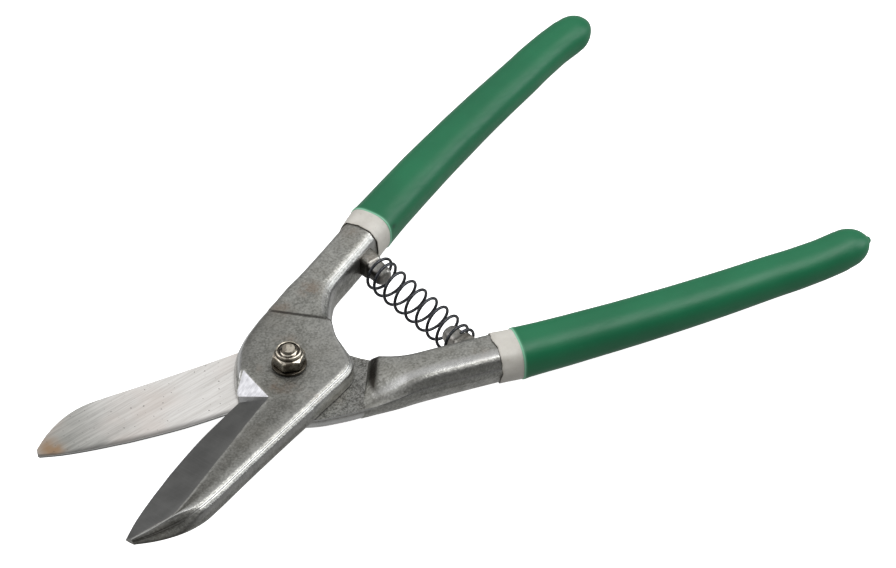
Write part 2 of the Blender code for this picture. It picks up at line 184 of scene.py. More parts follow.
# ---- material helpers
class Shader:
    """A small helper that adds nodes and links in one call."""

    def __init__(self, name):
        self.mat = bpy.data.materials.new(name)
        self.mat.use_nodes = True
        self.tree = self.mat.node_tree
        self.tree.nodes.clear()
        self.out = self.tree.nodes.new("ShaderNodeOutputMaterial")
        self.bsdf = self.tree.nodes.new("ShaderNodeBsdfPrincipled")
        self.tree.links.new(self.bsdf.outputs[0], self.out.inputs[0])
        self.place = self.add("ShaderNodeTexCoord").outputs["Object"]

    def plug(self, socket, value):
        if isinstance(value, bpy.types.NodeSocket):
            self.tree.links.new(value, socket)
        else:
            socket.default_value = value

    def add(self, kind, inputs=None, **settings):
        node = self.tree.nodes.new(kind)
        for key, value in settings.items():
            setattr(node, key, value)
        for key, value in (inputs or {}).items():
            self.plug(node.inputs[key], value)
        return node

    def set(self, **values):
        for key, value in values.items():
            self.plug(self.bsdf.inputs[key.replace("_", " ")], value)

    def mapping(self, scale, turn=0.0):
        return self.add("ShaderNodeMapping", {
            "Vector": self.place, "Scale": scale,
            "Rotation": (0, 0, math.radians(turn))}).outputs[0]

    def noise(self, scale, detail=2.0, rough=0.5, vector=None):
        return self.add("ShaderNodeTexNoise", {
            "Vector": vector or self.place, "Scale": scale, "Detail": detail,
            "Roughness": rough}).outputs[0]

    def cells(self, scale):
        return self.add("ShaderNodeTexVoronoi", {
            "Vector": self.place, "Scale": scale}).outputs["Distance"]

    def ramp(self, value, low, high, to_low=0.0, to_high=1.0):
        return self.add("ShaderNodeMapRange", {
            0: value, 1: low, 2: high, 3: to_low, 4: to_high},
                        interpolation_type="SMOOTHSTEP").outputs[0]

    def times(self, a, b):
        return self.add("ShaderNodeMath", {0: a, 1: b}, operation="MULTIPLY").outputs[0]

    def plus(self, a, b):
        return self.add("ShaderNodeMath", {0: a, 1: b}, operation="ADD").outputs[0]

    def tinted(self, colour, mask, amount, tint):
        """The colour, mixed with a tint where the mask is."""
        return self.mix(self.times(mask, amount), colour, tint)

    def mix(self, factor, a, b):
        node = self.add("ShaderNodeMix", data_type="RGBA")
        for index, value in ((0, factor), (6, a), (7, b)):
            if isinstance(value, tuple) and len(value) == 3:
                value = (*value, 1.0)
            self.plug(node.inputs[index], value)
        return node.outputs[2]

    def blend(self, factor, a, b):
        node = self.add("ShaderNodeMix", data_type="FLOAT")
        for index, value in ((0, factor), (2, a), (3, b)):
            self.plug(node.inputs[index], value)
        return node.outputs[0]

    def mask(self, name):
        return self.add("ShaderNodeAttribute", attribute_name=name).outputs["Fac"]

    def bump(self, height, strength, distance, under=None):
        inputs = {"Height": height, "Strength": strength, "Distance": distance}
        if under is not None:
            inputs["Normal"] = under
        return self.add("ShaderNodeBump", inputs).outputs[0]


def forged_steel():
    """Shot-blasted drop forging: pebbling, worn edges with painted highlights, painted shade, faint
    brown stains.
    """
    s = Shader("forged_steel")
    grain = s.noise(1250, 2.0, 0.55)
    fine = s.noise(2600, 2.0, 0.6)
    pebble = s.cells(1000)
    mottle = s.noise(260, 4.0, 0.6)
    cloud = s.noise(60, 3.0, 0.55)
    wear_and_highlight = s.mask("wear_and_highlight")
    shade_and_dirt = s.mask("shade_and_dirt")
    stain = s.mask("stain")
    tone = s.plus(s.times(grain, 0.6), s.times(mottle, 0.4))
    along = s.add("ShaderNodeSeparateXYZ", {0: s.place}).outputs[0]
    handled = s.ramp(along, 0.004, 0.040)
    colour = s.mix(s.ramp(tone, 0.36, 0.64), s.mix(handled, STEEL_DARK, TANG_DARK),
                   s.mix(handled, STEEL_LIGHT, TANG_LIGHT))
    colour = s.mix(s.ramp(cloud, 0.42, 0.72, 0.0, 0.35), colour, (0.26, 0.245, 0.21))
    spots = s.ramp(s.noise(800, 2.0, 0.5), 0.60, 0.70)
    rust = s.times(stain, s.ramp(mottle, 0.32, 0.62))
    colour = s.tinted(colour, rust, 0.75, (0.17, 0.095, 0.045))
    colour = s.tinted(colour, spots, 0.28, (0.08, 0.078, 0.065))
    # painted highlight along the ridges and rims, with wear on the edges
    colour = s.tinted(colour, wear_and_highlight, 0.8, (0.64, 0.64, 0.64))
    # painted shade: darker in the spine's groove, along the boss's outline, under the riser's ridge,
    # at the wall's foot and on the tip's facets
    colour = s.mix(shade_and_dirt, colour, (0.035, 0.031, 0.026))
    worn = s.ramp(wear_and_highlight, 0.05, 0.5)
    rough = s.ramp(tone, 0.3, 0.7, 0.46, 0.34)
    rough = s.blend(worn, rough, 0.27)
    rough = s.blend(s.times(rust, 0.7), rough, 0.62)
    height = s.plus(s.times(grain, 0.8), s.plus(s.times(pebble, 0.5), s.times(fine, 0.25)))
    strength = s.blend(worn, 0.60, 0.08)
    s.set(Base_Color=colour, Metallic=0.96, Roughness=rough,
          Normal=s.bump(height, strength, 0.00022,
                        s.bump(mottle, s.blend(worn, 0.3, 0.08), 0.0005)))
    return s.mat


def ground_face():
    """Surface-ground blade flat: long scratches, faint heat tint, rust by the tip."""
    s = Shader("ground_face")
    streak = s.noise(1.0, 3.0, 0.65, s.mapping((34, 1500, 300), -13.0))
    hair = s.noise(1.0, 3.0, 0.65, s.mapping((110, 2600, 600), -19.0))
    wide = s.noise(1.0, 3.0, 0.6, s.mapping((26, 420, 80), -11.0))
    cloud = s.noise(75, 3.0, 0.6)
    tint = s.noise(38, 2.0, 0.5)
    specks = s.ramp(s.noise(1000, 1.0, 0.4), 0.70, 0.78)
    stain = s.mask("stain")
    tone = s.plus(s.times(streak, 0.35), s.plus(s.times(hair, 0.35), s.times(wide, 0.3)))
    along = s.add("ShaderNodeSeparateXYZ", {0: s.place}).outputs[0]
    bright = s.plus(along, s.times(cloud, 0.02))
    light = s.mix(s.ramp(bright, -0.072, -0.030), (0.50, 0.50, 0.47), (0.98, 0.96, 0.93))
    dark = s.mix(s.ramp(bright, -0.072, -0.030), (0.32, 0.32, 0.30), (0.76, 0.74, 0.71))
    colour = s.mix(s.ramp(tone, 0.38, 0.60), dark, light)
    colour = s.mix(s.ramp(tint, 0.46, 0.66, 0.0, 0.32), colour, (0.72, 0.60, 0.53))
    colour = s.mix(s.times(stain, s.ramp(cloud, 0.3, 0.55)), colour, (0.40, 0.27, 0.17))
    colour = s.tinted(colour, specks, 0.7, (0.13, 0.12, 0.11))
    # darker along the cutting edge's land
    colour = s.mix(s.mask("shade_and_dirt"), colour, (0.10, 0.098, 0.095))
    rough = s.ramp(tone, 0.3, 0.7, 0.44, 0.30)
    s.set(Base_Color=colour, Metallic=1.0, Roughness=rough,
          Normal=s.bump(s.plus(streak, hair), 0.20, 0.00006))
    return s.mat


def bevel_facet():
    """Smooth-ground blade bevel with fine grinding marks across it."""
    s = Shader("bevel_facet")
    across = s.noise(1.0, 3.0, 0.6, s.mapping((1300, 60, 60), 14.0))
    fine = s.noise(2200, 2.0, 0.6)
    cloud = s.noise(110, 3.0, 0.5)
    colour = s.mix(s.ramp(cloud, 0.35, 0.7), (0.172, 0.172, 0.168), (0.215, 0.215, 0.210))
    colour = s.mix(s.ramp(across, 0.45, 0.75, 0.0, 0.12), colour, (0.34, 0.34, 0.33))
    # lighter along its edges
    colour = s.tinted(colour, s.mask("wear_and_highlight"), 0.8, (0.75, 0.75, 0.74))
    s.set(Base_Color=colour, Metallic=1.0,
          Roughness=s.ramp(fine, 0.3, 0.7, 0.30, 0.40),
          Normal=s.bump(s.plus(across, fine), 0.12, 0.00006))
    return s.mat


def milled_shoulder():
    """Freshly cut shoulder where the grinding wheel stopped."""
    s = Shader("milled_shoulder")
    lines = s.noise(1.0, 3.0, 0.65, s.mapping((160, 1500, 300), 38.0))
    blotch = s.noise(520, 3.0, 0.6)
    tone = s.plus(s.times(lines, 0.5), s.times(blotch, 0.5))
    colour = s.mix(s.ramp(tone, 0.36, 0.62), (0.46, 0.46, 0.47), (0.60, 0.60, 0.61))
    s.set(Base_Color=colour, Metallic=1.0, Roughness=s.ramp(tone, 0.3, 0.7, 0.46, 0.34),
          Normal=s.bump(tone, 0.35, 0.00010))
    return s.mat


def machined_lug():
    """The flat of the lap joint: mottled, pitted and slightly oily."""
    s = Shader("machined_lug")
    fine = s.noise(1300, 3.0, 0.65)
    pits = s.cells(900)
    band = s.noise(1.0, 2.0, 0.5, s.mapping((900, 160, 100), 8.0))
    cloud = s.noise(70, 3.0)
    tone = s.plus(s.times(fine, 0.75), s.times(band, 0.25))
    colour = s.mix(s.ramp(tone, 0.36, 0.62), LUG_DARK, LUG_LIGHT)
    colour = s.mix(s.ramp(cloud, 0.5, 0.8, 0.0, 0.3), colour, (0.21, 0.185, 0.15))
    colour = s.mix(s.mask("shade_and_dirt"), colour, (0.025, 0.023, 0.022))
    height = s.plus(s.times(fine, 0.7), s.times(pits, 0.6))
    s.set(Base_Color=colour, Metallic=0.96, Roughness=s.ramp(tone, 0.3, 0.7, 0.46, 0.34),
          Normal=s.bump(height, 0.55, 0.00022))
    return s.mat


def grip_plastic():
    """Dipped soft vinyl: satin, slightly uneven, with a few scuffs."""
    s = Shader("grip_plastic")
    wave = s.noise(38, 3.0, 0.5)
    fine = s.noise(1700, 2.0, 0.6)
    dust = s.ramp(s.noise(600, 4.0, 0.7), 0.60, 0.78)
    scuff = s.noise(1.0, 3.0, 0.6, s.mapping((60, 500, 300), 20.0))
    colour = s.mix(s.ramp(wave, 0.3, 0.7), (0.0045, 0.126, 0.051), (0.0060, 0.149, 0.060))
    colour = s.tinted(colour, dust, 0.10, (0.10, 0.33, 0.22))
    colour = s.tinted(colour, s.mask("shade_and_dirt"), 0.85, (0.005, 0.035, 0.018))
    # painted highlight on the lip's bead
    colour = s.tinted(colour, s.mask("wear_and_highlight"), 0.8, (0.30, 0.66, 0.45))
    rough = s.ramp(scuff, 0.35, 0.75, 0.38, 0.48)
    s.set(Base_Color=colour, Roughness=rough, Specular_IOR_Level=0.4,
          Normal=s.bump(fine, 0.14, 0.00010, s.bump(wave, 0.18, 0.0012)))
    return s.mat


def band_plastic():
    """Pale undercoat, a little grubby and chalky."""
    s = Shader("band_plastic")
    cloud = s.noise(150, 4.0, 0.6)
    fine = s.noise(1700, 2.0, 0.6)
    colour = s.mix(s.ramp(cloud, 0.3, 0.7), (0.520, 0.497, 0.448), (0.610, 0.588, 0.538))
    colour = s.mix(s.ramp(s.noise(520, 3.0, 0.6), 0.62, 0.74, 0.0, 0.35), colour, (0.38, 0.33, 0.26))
    # painted shade along the ragged edge, where the band stands proud of the steel
    colour = s.tinted(colour, s.mask("shade_and_dirt"), 0.8, (0.12, 0.095, 0.06))
    s.set(Base_Color=colour, Roughness=s.ramp(cloud, 0.3, 0.7, 0.46, 0.36),
          Normal=s.bump(fine, 0.14, 0.0001, s.bump(cloud, 0.25, 0.0003)))
    return s.mat


def plated_steel():
    """Nickel plate gone slightly yellow, with painted shade in the corners, under the nut and on the
    washers; the nut's faces darker too.
    """
    s = Shader("plated_steel")
    cloud = s.noise(420, 3.0, 0.6)
    fine = s.noise(2200, 2.0, 0.6)
    blotch = s.ramp(s.noise(420, 2.0, 0.5), 0.46, 0.58, 0.0, 0.75)
    colour = s.mix(s.ramp(cloud, 0.3, 0.7), (0.50, 0.45, 0.36), (0.86, 0.81, 0.72))
    colour = s.mix(blotch, colour, (0.12, 0.095, 0.065))
    # painted shade in recesses, under the nut and on the washers; darker on the nut's faces
    colour = s.mix(s.mask("shade_and_dirt"), colour, (0.035, 0.029, 0.021))
    s.set(Base_Color=colour, Metallic=1.0, Roughness=s.ramp(cloud, 0.3, 0.7, 0.26, 0.18),
          Normal=s.bump(fine, 0.10, 0.00008, s.bump(cloud, 0.3, 0.0003)))
    return s.mat


def spring_wire():
    """Oil-blacked music wire."""
    s = Shader("spring_wire")
    s.place = s.add("ShaderNodeTexCoord").outputs["UV"]
    die = s.noise(1.0, 2.0, 0.6, s.mapping((4, 30, 1)))
    patch = s.noise(1.0, 3.0, 0.6, s.mapping((30, 2, 1)))
    colour = s.mix(s.ramp(patch, 0.35, 0.7), (0.022, 0.023, 0.027), (0.085, 0.088, 0.098))
    s.set(Base_Color=colour, Metallic=0.8, Roughness=s.ramp(patch, 0.3, 0.7, 0.30, 0.18),
          Normal=s.bump(die, 0.15, 0.00008))
    return s.mat


def nylon():
    """The lock nut's nylon ring, painted dark brown as the shade deep inside the collar."""
    s = Shader("nylon")
    cloud = s.noise(700, 3.0, 0.6)
    s.set(Base_Color=s.mix(cloud, (0.02, 0.015, 0.010), (0.07, 0.052, 0.035)),
          Roughness=s.ramp(cloud, 0.3, 0.7, 0.5, 0.35),
          Normal=s.bump(cloud, 0.3, 0.0001))
    return s.mat


# Places of the forging's materials in its list.
FORGED, GROUND, BEVEL, MILLED, LUG = range(5)


# ---- mesh helpers
def lerp(a, b, t):
    return a + (b - a) * t


def ease(value, low, high):
    """0 below low and 1 above high, with a smooth step between."""
    t = min(1.0, max(0.0, (value - low) / (high - low)))
    return t * t * (3 - 2 * t)


def turns(count):
    """Angles once round a circle."""
    return [2 * math.pi * k / count for k in range(count)]


def joined(rings):
    return [value for ring in rings for value in ring]


def spread(values, count):
    """Each ring's value, repeated for all its points."""
    return [value for value in values for _ in range(count)]


def to_world(points, side):
    """Pivot-frame millimetres to metres in the row frame."""
    points = np.array(points, float).reshape(-1, 3)
    if side == "rear":
        points = points * (1, -1, -1)
    return (points + (0, 0, PIVOT_Z)) * MM


def make_mesh(name, points, faces, mats, side="front", zones=None, masks=None, angle=32):
    """A smooth-shaded object; zones pick materials by face, masks are point values."""
    mesh = bpy.data.meshes.new(name)
    mesh.from_pydata(to_world(points, side).tolist(), [], faces)
    for mat in mats:
        mesh.materials.append(mat)
    if zones is not None:
        mesh.polygons.foreach_set("material_index", np.array(zones, np.int32))
    for key, values in (masks or {}).items():
        attribute = mesh.attributes.new(key, "FLOAT", "POINT")
        attribute.data.foreach_set("value", np.array(values, np.float32))
    bm = bmesh.new()
    bm.from_mesh(mesh)
    bmesh.ops.recalc_face_normals(bm, faces=bm.faces)
    bm.to_mesh(mesh)
    bm.free()
    mesh.shade_smooth()
    mesh.set_sharp_from_angle(angle=math.radians(angle))
    obj = bpy.data.objects.new(name, mesh)
    bpy.context.scene.collection.objects.link(obj)
    return obj


def grid_faces(rows, cols, closed_rows=False):
    """Quads over rings of equal length, with a face at each end unless they close up."""
    faces = []
    for i in range(rows if closed_rows else rows - 1):
        j = (i + 1) % rows
        for k in range(cols):
            n = (k + 1) % cols
            faces.append((i * cols + k, i * cols + n, j * cols + n, j * cols + k))
    if not closed_rows:
        faces.append(tuple(range(cols)))
        faces.append(tuple(range((rows - 1) * cols, rows * cols)))
    return faces


def weigh_normals(obj):
    """Keep large faces flat beside small rounded ones."""
    modifier = obj.modifiers.new("flat_faces_stay_flat", "WEIGHTED_NORMAL")
    modifier.keep_sharp = True
    modifier.weight = 80


# ---- forging
def dense_rungs():
    """Catmull-Rom sections between the rungs, and each one's place among them."""
    rows = [np.array([v for p in r[:4] for v in p] + list(r[4:]), float) for r in RUNGS]
    last = len(rows) - 1
    made, numbers = [rows[0]], [0.0]
    for i in range(last):
        here, there = rows[i], rows[i + 1]
        slope_a = (there - here) if i in SHARP_RUNGS else (there - rows[max(i - 1, 0)]) / 2
        slope_b = ((there - here) if i + 1 in SHARP_RUNGS else (rows[min(i + 2, last)] - here) / 2)
        run = max(np.linalg.norm((there - here)[2 * k:2 * k + 2]) for k in range(4))
        steps = max(2, math.ceil(run / RUNG_SPACING))
        for step in range(1, steps + 1):
            t = step / steps
            made.append((2 * t**3 - 3 * t**2 + 1) * here + (t**3 - 2 * t**2 + t) * slope_a
                        + (3 * t**2 - 2 * t**3) * there + (t**3 - t**2) * slope_b)
            numbers.append(i + t)
    return made, numbers


# The corners of a section: name, arc segments and segments of the edge that follows.
CORNERS = (
    ("rim_foot", 2, 3), ("crease", 4, 3), ("swell", 4, 3), ("outer_top", 4, 8),
    ("inner_top", 5, 2), ("ridge", 2, 1), ("groove", 1, 1), ("lip", 2, 2),
    ("shoulder", 4, 3), ("wall_foot", 2, 1), ("under_wall", 4, 2), ("under_inner", 4, 4),
    ("under_mid", 1, 4), ("under_outer", 4, 3), ("under_swell", 4, 3), ("under_crease", 4, 3),
)


def section_corners(row, number):
    """Each corner's point, fillet, wear with painted highlight, and darkening (mostly painted shade)
    in one section of the forging.
    """
    rim, outer, inner, wall = row[0:2], row[2:4], row[4:6], row[6:8]
    top, rim_z, swell, under = row[8:12]
    depth = min(1.0, max(0.0, -under / TANG))
    level = 1 - depth
    floor = under if depth > 0.0 else JOINT_GAP
    foot = JOINT_GAP * level
    soft = max(swell, depth)
    edge = 1 - ease(number, 6.0, 9.0)            # the cutting edge has a steep narrow land
    boss = ease(number, 9.1, 9.8) * (1 - ease(number, 15.5, 17.0))
    blade = 1 - ease(number, 7.9, 8.1)
    tip = 1 - ease(number, 1.9, 3.3)             # near the tip the back is one flat facet
    full = 1 - tip
    double = 1 - ease(number, 15.5, 18.0)        # the spine's double edge fades at the tang
    risen = ease(number, 18.4, 21.2)             # how far the riser has squared up

    # the back: a rounded spine, with a groove along it, or the facet at the tip
    drop = min(top - rim_z, max(0.7, min(SPINE_DROP, 0.9 * np.linalg.norm(inner - wall) + 0.2)))
    top_in = lerp(inner, outer, 0.17 * (1 - double))
    slump = lerp(2.6, drop, double)
    fall = 0.97 * (top - foot)

    def back(reach, rounded, straight):
        return (*lerp(top_in, wall, reach), top - lerp(rounded * slump, straight * fall, tip))

    # the underside, whose outer corner climbs more slowly along the riser
    outer_floor = foot + ease(number, 18.9, 22.4) * (floor - foot)
    climb = outer_floor - foot
    low_crease = foot + lerp(0.04, 0.36, risen) * climb if depth > 0.0 else floor
    ridge_in = 0.13 * ease(number, 18.3, 19.8) * (1 - ease(number, 21.0, 23.5))
    low_outer = lerp(outer, inner, ridge_in)
    crease = lerp(rim, outer, 0.06 - 0.04 * edge + 0.05 * boss + 0.4 * depth)

    # Third value: lighter for wear on the edges and a painted highlight along the ridges. Fourth
    # value: painted shade in the groove, along the boss's outline, under the riser's ridge, at the
    # wall's foot and on the tip's facets; the cutting edge's land is darker too.
    return (
        ((*rim, foot), lerp(lerp(0.7, 0.08, edge), 0.25, depth), 0.9 * level,
         0.15 * depth + 0.9 * edge),
        ((*crease, rim_z), lerp(0.12, 1.5, soft), 0.1 + 0.8 * boss, 0.8 * edge),
        ((*lerp(crease, outer, 0.5), rim_z + (top - rim_z) * (0.5 + 0.28 * swell)),
         lerp(0.1, 1.6, soft), boss, 0.0),
        ((*outer, top), lerp(0.3, 2.2, soft), 0.2 * (1 - soft) * blade + 0.12 * soft,
         0.35 * boss),
        ((*top_in, top), lerp(lerp(1.2, 1.0, double), 0.2, tip),
         0.30 * double * full + 0.9 * tip, 0.0),
        (back(lerp(0.42, 0.36, double), lerp(0.27, 0.20, double), 0.36),
         lerp(0.6, 0.16, double), (0.36 * double + 0.49) * full, 0.95 * tip),
        (back(lerp(0.45, 0.42, double), lerp(0.31, 0.27, double), 0.42),
         0.08, 0.2, lerp(0.85 * double, 0.95, tip)),
        (back(lerp(0.50, 0.48, double), lerp(0.34, 0.22, double), 0.48),
         lerp(0.5, 0.16, double), (0.6 * double + 0.35) * full, 0.9 * tip),
        (back(lerp(0.86, 0.96, double), lerp(1.0, 0.62, double), 0.93),
         lerp(2.4, 0.4, tip), 0.45 * full, 0.5 * tip),
        ((*wall, foot), lerp(0.7, 0.25, depth), 0.3 * level, 0.15),
        ((*lerp(wall, inner, 0.05), min(foot, floor + drop * depth)),
         1.2 * depth + 0.02, 0.1, 0.0),
        ((*lerp(inner, wall, 0.45 * depth), min(foot, floor + 0.25 * drop * depth)),
         1.4 * depth + 0.02, 0.15, 0.0),
        ((*lerp(outer, inner, 0.5), lerp(floor, outer_floor, 0.3)), 0.5, 0.0, 0.0),
        ((*low_outer, outer_floor), lerp(0.6, 2.2, risen) * depth + 0.02,
         0.75 * depth * risen, 0.0),
        ((*lerp(rim, low_outer, 0.45), foot + lerp(0.50, 0.87, risen) * climb),
         1.3 * depth + 0.02, 0.25 * depth, (0.75 - 0.45 * risen) * min(1.0, 2 * depth)),
        ((*lerp(rim, outer, 0.05), low_crease), 0.3 * depth + 0.02, 0.6 * depth, 0.3 * depth),
    )


def bevel_shade(number, t):
    """Painted shade: the blade's flat top is darker beside the bevel and towards the tip."""
    towards_tip = 0.34 + 0.3 * (1 - ease(number, 2.5, 5.5))
    return towards_tip * (1 - ease(t, 0.6, 1.0)) * (1 - ease(number, 7.0, 10.0))


def section_ring(row, number):
    """One ring with rounded corners, its wear with painted highlight, and its darkening (mostly
    painted shade).
    """
    corners, fillets, wear_and_highlight, shade_and_dirt = zip(*section_corners(row, number))
    corners = np.array(corners, float)

    def leave(towards):
        """Where the edge to a neighbouring corner leaves the fillet."""
        edge = np.roll(corners, towards, axis=0) - corners
        length = np.maximum(np.linalg.norm(edge, axis=1), 1e-6)
        return corners + edge * (np.minimum(fillets, 0.45 * length) / length)[:, None]

    start, end = leave(1), leave(-1)
    ring, shine, shade_and_dirt_level = [], [], []
    for c, (name, arc, span) in enumerate(CORNERS):
        after = (c + 1) % len(CORNERS)
        for step in range(arc + 1):
            t = step / arc
            ring.append((1 - t)**2 * start[c] + 2 * t * (1 - t) * corners[c] + t**2 * end[c])
            weight = 0.55 + 0.45 * math.sin(math.pi * t)
            shine.append(wear_and_highlight[c] * weight)
            shade_and_dirt_level.append(shade_and_dirt[c] * weight)
        for step in range(1, span):
            t = step / span
            ring.append(lerp(end[c], start[after], t))
            near, fade = (c if t < 0.5 else after), abs(2 * t - 1)
            shine.append(0.5 * fade * wear_and_highlight[near])
            span_shade_and_dirt = 0.4 * fade * shade_and_dirt[near]
            shade_and_dirt_level.append(max(span_shade_and_dirt, bevel_shade(number, t)) if name == "outer_top" else span_shade_and_dirt)
    return ring, shine, shade_and_dirt_level


def forging_rings():
    """Rings of the bare forging, each one's rung number, wear with painted highlight, and darkening
    (mostly painted shade).
    """
    rows, numbers = dense_rungs()
    # carry the last section on along the handle, to run under the band
    direction = np.array([1.0, HANDLE_SLOPE + 2 * HANDLE_BEND * (60 - HANDLE_X)])
    direction /= np.linalg.norm(direction)
    last = rows[-1]
    for reach in (1.0, 2.0, 3.0, 4.5):
        row = last.copy()
        row[:8] = (last[:8].reshape(4, 2) + direction * reach).ravel()
        rows.append(row)
        numbers.append(numbers[-1] + 0.05)
    rings, wear_and_highlight, shade_and_dirt = zip(*(section_ring(r, n) for r, n in zip(rows, numbers)))
    return rings, numbers, wear_and_highlight, shade_and_dirt


def handle_frame(x):
    """Centre of the handle at x and its unit normal in plan."""
    run = x - HANDLE_X
    y = HANDLE_Y + HANDLE_SLOPE * run + HANDLE_BEND * run * run
    slope = HANDLE_SLOPE + 2 * HANDLE_BEND * run
    size = math.hypot(1.0, slope)
    return np.array((x, y)), np.array((-slope / size, 1.0 / size))


def oval_radius(turn, half_a, half_b, power):
    """Polar radius of a superellipse."""
    c, s = abs(math.cos(turn)) / half_a, abs(math.sin(turn)) / half_b
    return (c**power + s**power) ** (-1.0 / power)


def sleeve_size(x):
    thinning = min(1.0, max(0.0, (x - GRIP_X) / (THIN_X - GRIP_X)))
    return lerp(MOUTH_A, THIN_A, thinning), lerp(MOUTH_B, THIN_B, thinning)


def sleeve_shift(x):
    """How far the sleeve's outside stands off the handle's centre line."""
    neck = NECK_SHIFT * ease(x, 160, 172) * (1 - ease(x, 180, 188))
    return neck + END_SHIFT * ease(x, 186, 193)


def polar_ring(x, radii, shift=0.0, slide=(0.0,) * POLAR):
    """A ring across the handle at x from polar radii; slide moves points along it."""
    (cx, cy), (nx, ny) = handle_frame(x)
    ring = []
    for turn, radius, along in zip(turns(POLAR), radii, slide):
        a = radius * math.cos(turn) + shift
        ring.append((cx + nx * a + ny * along, cy + ny * a - nx * along, radius * math.sin(turn)))
    return ring


def tang_radii(ring):
    """Polar radii of a forging ring about the handle's centre."""
    points = np.array(ring)
    centre, normal = handle_frame(float(points[:, 0].mean()))
    section = np.column_stack(((points[:, :2] - centre) @ normal, points[:, 2]))
    edges = np.roll(section, -1, axis=0) - section
    radii = []
    for turn in turns(POLAR):
        ray = np.array((math.cos(turn), math.sin(turn)))
        across = np.cross(edges, ray)
        met = np.abs(across) > 1e-12
        reach = np.cross(edges[met], section[met]) / across[met]
        t = np.cross(ray, section[met]) / across[met]
        radii.append(reach[(t >= -1e-9) & (t <= 1 + 1e-9)].max())
    return radii


RINGS, NUMBERS, WEAR_AND_HIGHLIGHT, SHADE_AND_DIRT = forging_rings()
TAGS = [name for name, arc, span in CORNERS for _ in range(arc + span)]
RIMS = [tuple(ring[1][:2]) for ring in RINGS]
TANG_RADII = tang_radii(RINGS[-2])


def core_rings():
    """The tang's core under the sleeve, with as many points as a forging's ring."""
    base = np.array(RINGS[-1])
    centre, normal = handle_frame(float(base[:, 0].mean()))
    turns = np.arctan2(base[:, 2], (base[:, :2] - centre) @ normal)
    rings = []
    for x in (67.2, 72.0, 90.0, 115.0, 145.0, CORE_END_X - 4, CORE_END_X):
        a, b = sleeve_size(x)
        trim = SLEEVE + CLEAR + (2.5 if x == CORE_END_X else 0.0)
        (cx, cy), (nx, ny) = handle_frame(x)
        ring = []
        for turn in turns:
            r = oval_radius(turn, a - trim, b - trim, 2.6)
            q = r * math.cos(turn)
            ring.append((cx + nx * q, cy + ny * q, r * math.sin(turn)))
        rings.append(ring)
    return rings


def added_darkening(point, number, rim):
    """Painted shade round the washer, along the step and up the riser; darker on the cutting edge's
    land.
    """
    x, y, z = point
    if z > BOSS - 0.3:
        by_washer = 0.5 * (1 - ease(math.hypot(x, y), WASHER_R - 0.6, WASHER_R + 1.1))
        by_step = 0.7 * ease(number, 15.88, 16.0) * (1 - ease(number, 17.0, 17.3))
        return max(by_washer, by_step)
    if z < JOINT_GAP - 0.1 and number > RISER_RUNG - 0.1:
        return (1 - ease(number, 19.85, 20.25)) * ease(-z, 0.4, 1.5)
    if z < JOINT_GAP + 0.05 and number < SHOULDER_RUNG:
        return 0.7 * (1 - ease(math.dist((x, y), rim), 0.9, 1.3))
    return 0.0


def forging_zone(name, number):
    """Which of the forging's materials a face has."""
    if name.startswith("under_"):
        if number < SHOULDER_RUNG + 1:
            return GROUND
        return LUG if number < RISER_RUNG else FORGED
    if name in ("rim_foot", "crease", "swell") and number < SHOULDER_RUNG:
        return BEVEL
    if name in ("crease", "swell") and number < SHOULDER_RUNG + 1:
        return MILLED
    return FORGED


def stain_at(point, side):
    return max(amount * (1 - ease(math.dist(point[:2], spot), 0.2 * size, size))
               for spot, size, amount in STAINS[side])


def build_forging(side, mats, hole):
    """A forged half: blade, boss and tang, with its core under the sleeve."""
    core = core_rings()
    rings = [*RINGS, *core]
    cols = len(TAGS)
    numbers = NUMBERS + [99.0] * len(core)
    rims = RIMS + [(0.0, 0.0)] * len(core)
    plain = [0.0] * (len(core) * cols)
    points = joined(rings)
    wear_and_highlight = joined(WEAR_AND_HIGHLIGHT) + plain
    shade_and_dirt = joined(SHADE_AND_DIRT) + plain
    shade_and_dirt = [max(value, added_darkening(points[i], numbers[i // cols], rims[i // cols]))
             for i, value in enumerate(shade_and_dirt)]
    zones = [forging_zone(name, number) for number in numbers[:-1] for name in TAGS]
    zones += [FORGED, FORGED]
    masks = {"wear_and_highlight": wear_and_highlight, "shade_and_dirt": shade_and_dirt, "stain": [stain_at(p, side) for p in points]}
    obj = make_mesh(side + "_forging", points, grid_faces(len(rings), cols), mats, side,
                    zones, masks, angle=24)
    cut = obj.modifiers.new("bolt_hole", "BOOLEAN")
    cut.operation, cut.object, cut.solver = "DIFFERENCE", hole, "EXACT"
    weigh_normals(obj)
    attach(obj, side)
    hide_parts(side + "_half")


